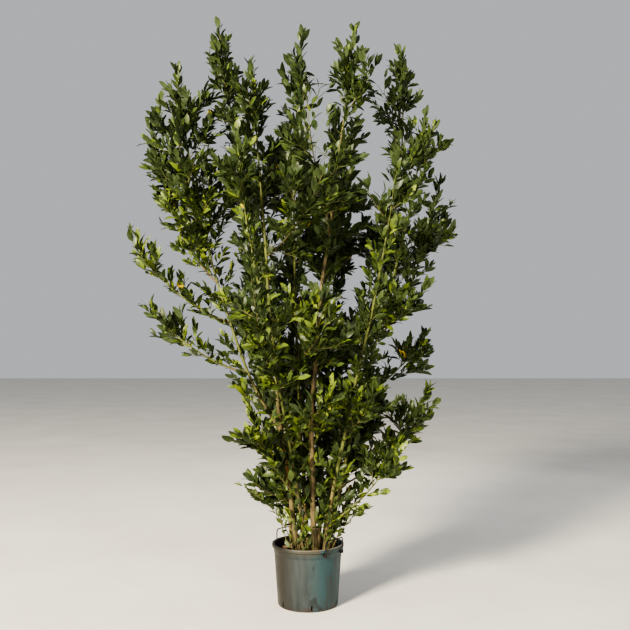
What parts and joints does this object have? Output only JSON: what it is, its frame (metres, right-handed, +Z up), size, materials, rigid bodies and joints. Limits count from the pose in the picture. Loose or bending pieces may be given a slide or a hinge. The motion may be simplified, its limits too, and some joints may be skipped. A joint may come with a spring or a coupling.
{
  "type": "potted bay laurel bush",
  "caption": "Tall multi-stem bay laurel bush with upright leafy shoots, growing in a round plastic nursery pot with small wire handles.",
  "frame": {"origin": "centre of the pot's flat underside", "axes": "+Z up, -Y towards the front that the picture shows, +X to its right"},
  "size_m": [1.6366, 1.2591, 2.9744],
  "materials": {
    "pot": "faded and streaked",
    "handle": "dull",
    "compost": "crumbly",
    "bark": "smooth bark",
    "foliage": "glossy leaves"
  },
  "bodies": {
    "root": {"bough_left": "bark", "bough_left_arm": "bark", "bough_left_low": "bark", "bough_left_top": "bark", "bough_right_arm": "bark", "bough_right_foot": "bark", "bough_right_low": "bark", "bough_right_mid": "bark", "bough_right_top": "bark", "cane_back": "bark", "cane_back_left": "bark", "cane_back_spire": "bark", "cane_far_right": "bark", "cane_front_left": "bark", "cane_front_right": "bark", "cane_left": "bark", "cane_middle": "bark", "cane_right": "bark", "cane_stout": "bark", "compost": "compost", "foliage_bough_left": "foliage", "foliage_bough_left_1": "foliage", "foliage_bough_left_arm": "foliage", "foliage_bough_left_low": "foliage", "foliage_bough_left_top": "foliage", "foliage_bough_right_arm": "foliage", "foliage_bough_right_foot": "foliage", "foliage_bough_right_low": "foliage", "foliage_bough_right_mid": "foliage", "foliage_bough_right_top": "foliage", "foliage_cane_back": "foliage", "foliage_cane_back_1": "foliage", "foliage_cane_back_2": "foliage", "foliage_cane_back_3": "foliage", "foliage_cane_back_left": "foliage", "foliage_cane_back_spire": "foliage", "foliage_cane_back_spire_1": "foliage", "foliage_cane_back_spire_2": "foliage", "foliage_cane_back_spire_3": "foliage", "foliage_cane_far_right": "foliage", "foliage_cane_front_left": "foliage", "foliage_cane_front_left_1": "foliage", "foliage_cane_front_left_2": "foliage", "foliage_cane_front_right": "foliage", "foliage_cane_front_right_1": "foliage", "foliage_cane_left": "foliage", "foliage_cane_left_1": "foliage", "foliage_cane_left_2": "foliage", "foliage_cane_left_3": "foliage", "foliage_cane_middle": "foliage", "foliage_cane_middle_1": "foliage", "foliage_cane_middle_2": "foliage", "foliage_cane_right": "foliage", "foliage_cane_right_1": "foliage", "foliage_cane_stout": "foliage", "foliage_cane_stout_1": "foliage", "foliage_cane_stout_2": "foliage", "handle_back_left": "handle", "handle_front_right": "handle", "pot": "pot"}
  },
  "joints": []
}
